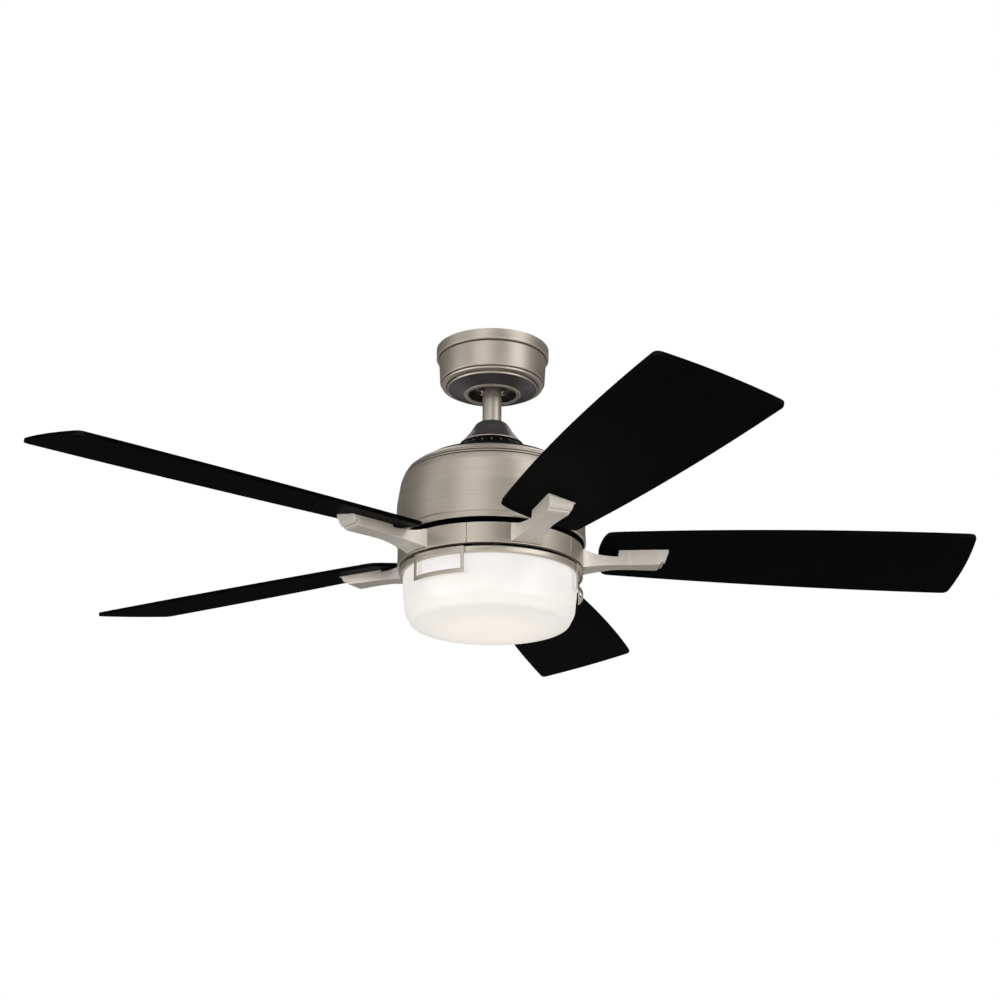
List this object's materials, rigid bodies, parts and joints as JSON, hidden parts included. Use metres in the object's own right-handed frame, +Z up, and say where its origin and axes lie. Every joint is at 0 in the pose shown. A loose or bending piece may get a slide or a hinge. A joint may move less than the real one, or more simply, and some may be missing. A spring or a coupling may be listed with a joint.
{
  "type": "ceiling fan with light",
  "caption": "Flush-canopy downrod ceiling fan with broad pitched blades on cast arms, a drum motor housing and an opal glass light below.",
  "frame": {"origin": "on the fan's axis in the plane of the ceiling, at the top of the canopy and hanger bracket", "axes": "+Z up along the fan's axis; the first blade points 2.2 degrees from +X towards +Y; the hanger bracket lies along X"},
  "size_m": [1.2498, 1.2871, 0.409],
  "materials": {
    "brushed_nickel": "warm satin brushed nickel plate",
    "nickel_casting": "satin brushed nickel plate on a die casting",
    "dark_bronze": "dark gunmetal, semi-matte",
    "black_paint": "matte black powder coat",
    "blade_black": "satin black laminate over plywood",
    "opal_glass": "etched opal white, lit from inside",
    "zinc_steel": "zinc-plated pressed steel",
    "raw_steel": "plain machined steel",
    "nylon": "natural nylon",
    "black_plastic": "fine moulded texture",
    "copper": "enamelled copper wire",
    "aluminium": "die-cast",
    "white_paint": "matte white reflector paint"
  },
  "bodies": {
    "ceiling": {"hanger_bracket": "zinc_steel", "canopy": "brushed_nickel", "canopy_trim_ring": "dark_bronze", "canopy_screw_1": "raw_steel", "canopy_screw_2": "raw_steel", "receiver": "black_plastic"},
    "seat": {"ball_seat": "nylon"},
    "hanging": {"hanger_ball": "black_plastic", "ball_cross_pin": "raw_steel", "ball_set_screw": "raw_steel", "downrod": "brushed_nickel", "coupling_cover": "dark_bronze", "yoke": "raw_steel", "yoke_pin": "raw_steel", "yoke_pin_clip": "raw_steel", "supply_lead": "black_plastic", "motor_cap": "black_paint", "motor_housing": "brushed_nickel", "motor_shaft": "raw_steel", "stator_core": "raw_steel", "stator_winding": "copper", "bearing_upper": "raw_steel", "bearing_lower": "raw_steel", "light_hub": "zinc_steel", "capacitor": "black_plastic", "light_pan": "white_paint", "light_ring": "brushed_nickel", "led_plate": "aluminium", "led_driver": "white_paint", "glass_frame_1": "brushed_nickel", "glass_frame_2": "brushed_nickel", "glass_frame_3": "brushed_nickel"},
    "rotor": {"rotor_shell_upper": "aluminium", "rotor_shell_lower": "aluminium", "arm_1": "nickel_casting", "blade_1": "blade_black", "blade_screw_1_1": "brushed_nickel", "blade_screw_1_2": "brushed_nickel", "blade_screw_1_3": "brushed_nickel", "arm_2": "nickel_casting", "blade_2": "blade_black", "blade_screw_2_1": "brushed_nickel", "blade_screw_2_2": "brushed_nickel", "blade_screw_2_3": "brushed_nickel", "arm_3": "nickel_casting", "blade_3": "blade_black", "blade_screw_3_1": "brushed_nickel", "blade_screw_3_2": "brushed_nickel", "blade_screw_3_3": "brushed_nickel", "arm_4": "nickel_casting", "blade_4": "blade_black", "blade_screw_4_1": "brushed_nickel", "blade_screw_4_2": "brushed_nickel", "blade_screw_4_3": "brushed_nickel", "arm_5": "nickel_casting", "blade_5": "blade_black", "blade_screw_5_1": "brushed_nickel", "blade_screw_5_2": "brushed_nickel", "blade_screw_5_3": "brushed_nickel"},
    "shade": {"glass_shade": "opal_glass"}
  },
  "joints": [
    {"name": "hanger_tilt_x", "type": "hinge", "parent": "ceiling", "child": "seat", "pos_m": [0, 0, -0.041], "axis": [1, 0, 0], "range_deg": [-12, 12]},
    {"name": "hanger_tilt_y", "type": "hinge", "parent": "seat", "child": "hanging", "pos_m": [0, 0, -0.041], "axis": [0, 1, 0], "range_deg": [-12, 12]},
    {"name": "rotor_spin", "type": "hinge", "parent": "hanging", "child": "rotor", "pos_m": [0, 0, -0.31], "axis": [0, 0, 1], "continuous": true},
    {"name": "shade_twist", "type": "hinge", "parent": "hanging", "child": "shade", "pos_m": [0, 0, -0.3345], "axis": [0, 0, 1], "range_deg": [-30, 0]}
  ]
}
